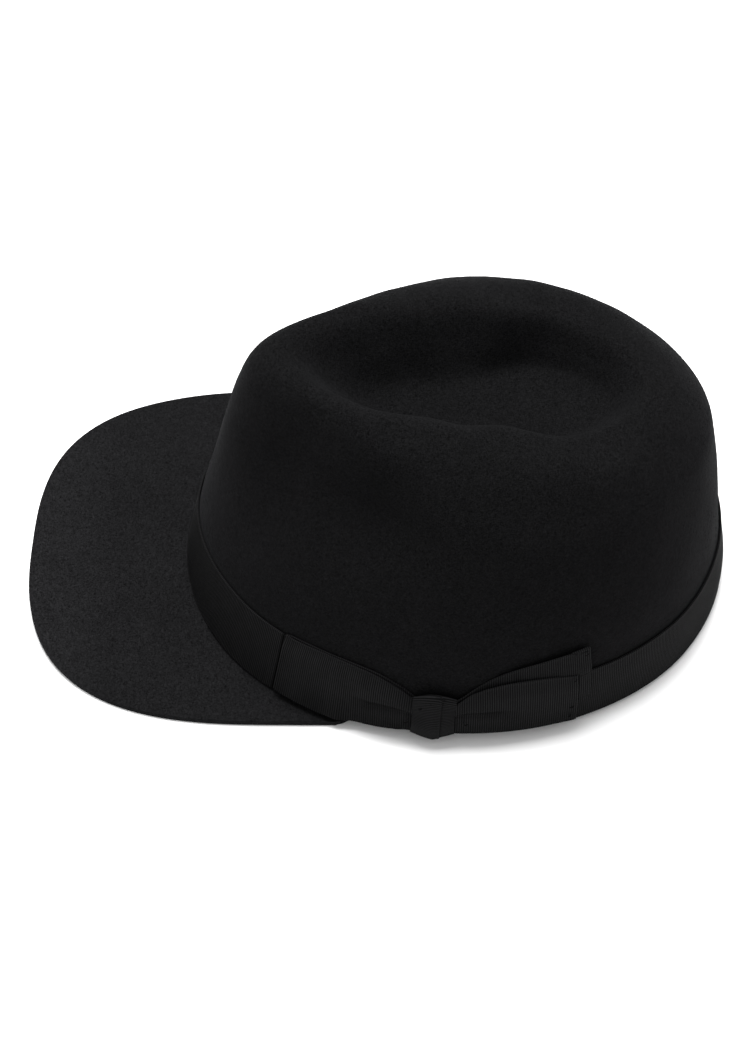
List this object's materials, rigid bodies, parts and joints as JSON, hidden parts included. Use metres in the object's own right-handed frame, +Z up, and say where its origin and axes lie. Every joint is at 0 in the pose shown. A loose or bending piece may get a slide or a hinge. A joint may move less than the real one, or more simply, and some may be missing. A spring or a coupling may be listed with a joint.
{
  "type": "felt cap with fedora crown",
  "caption": "Wool felt cap with a teardrop-dented, side-pinched fedora crown, a flat front peak and a ribbon band with a side bow.",
  "frame": {"origin": "on the resting surface, under the middle of the bounding box", "axes": "+Z up, -Y towards the front, where the peak points, +X towards the wearer's left, the side with the bow"},
  "size_m": [0.1827, 0.2674, 0.1073],
  "materials": {
    "felt": "matt brushed wool felt",
    "ribbon": "satin grosgrain ribbon"
  },
  "bodies": {
    "root": {"felt_body": "felt", "hat_band": "ribbon", "bow_loop": "ribbon", "bow_tail_rear": "ribbon", "bow_tail_front": "ribbon", "bow_knot": "ribbon"}
  },
  "joints": []
}
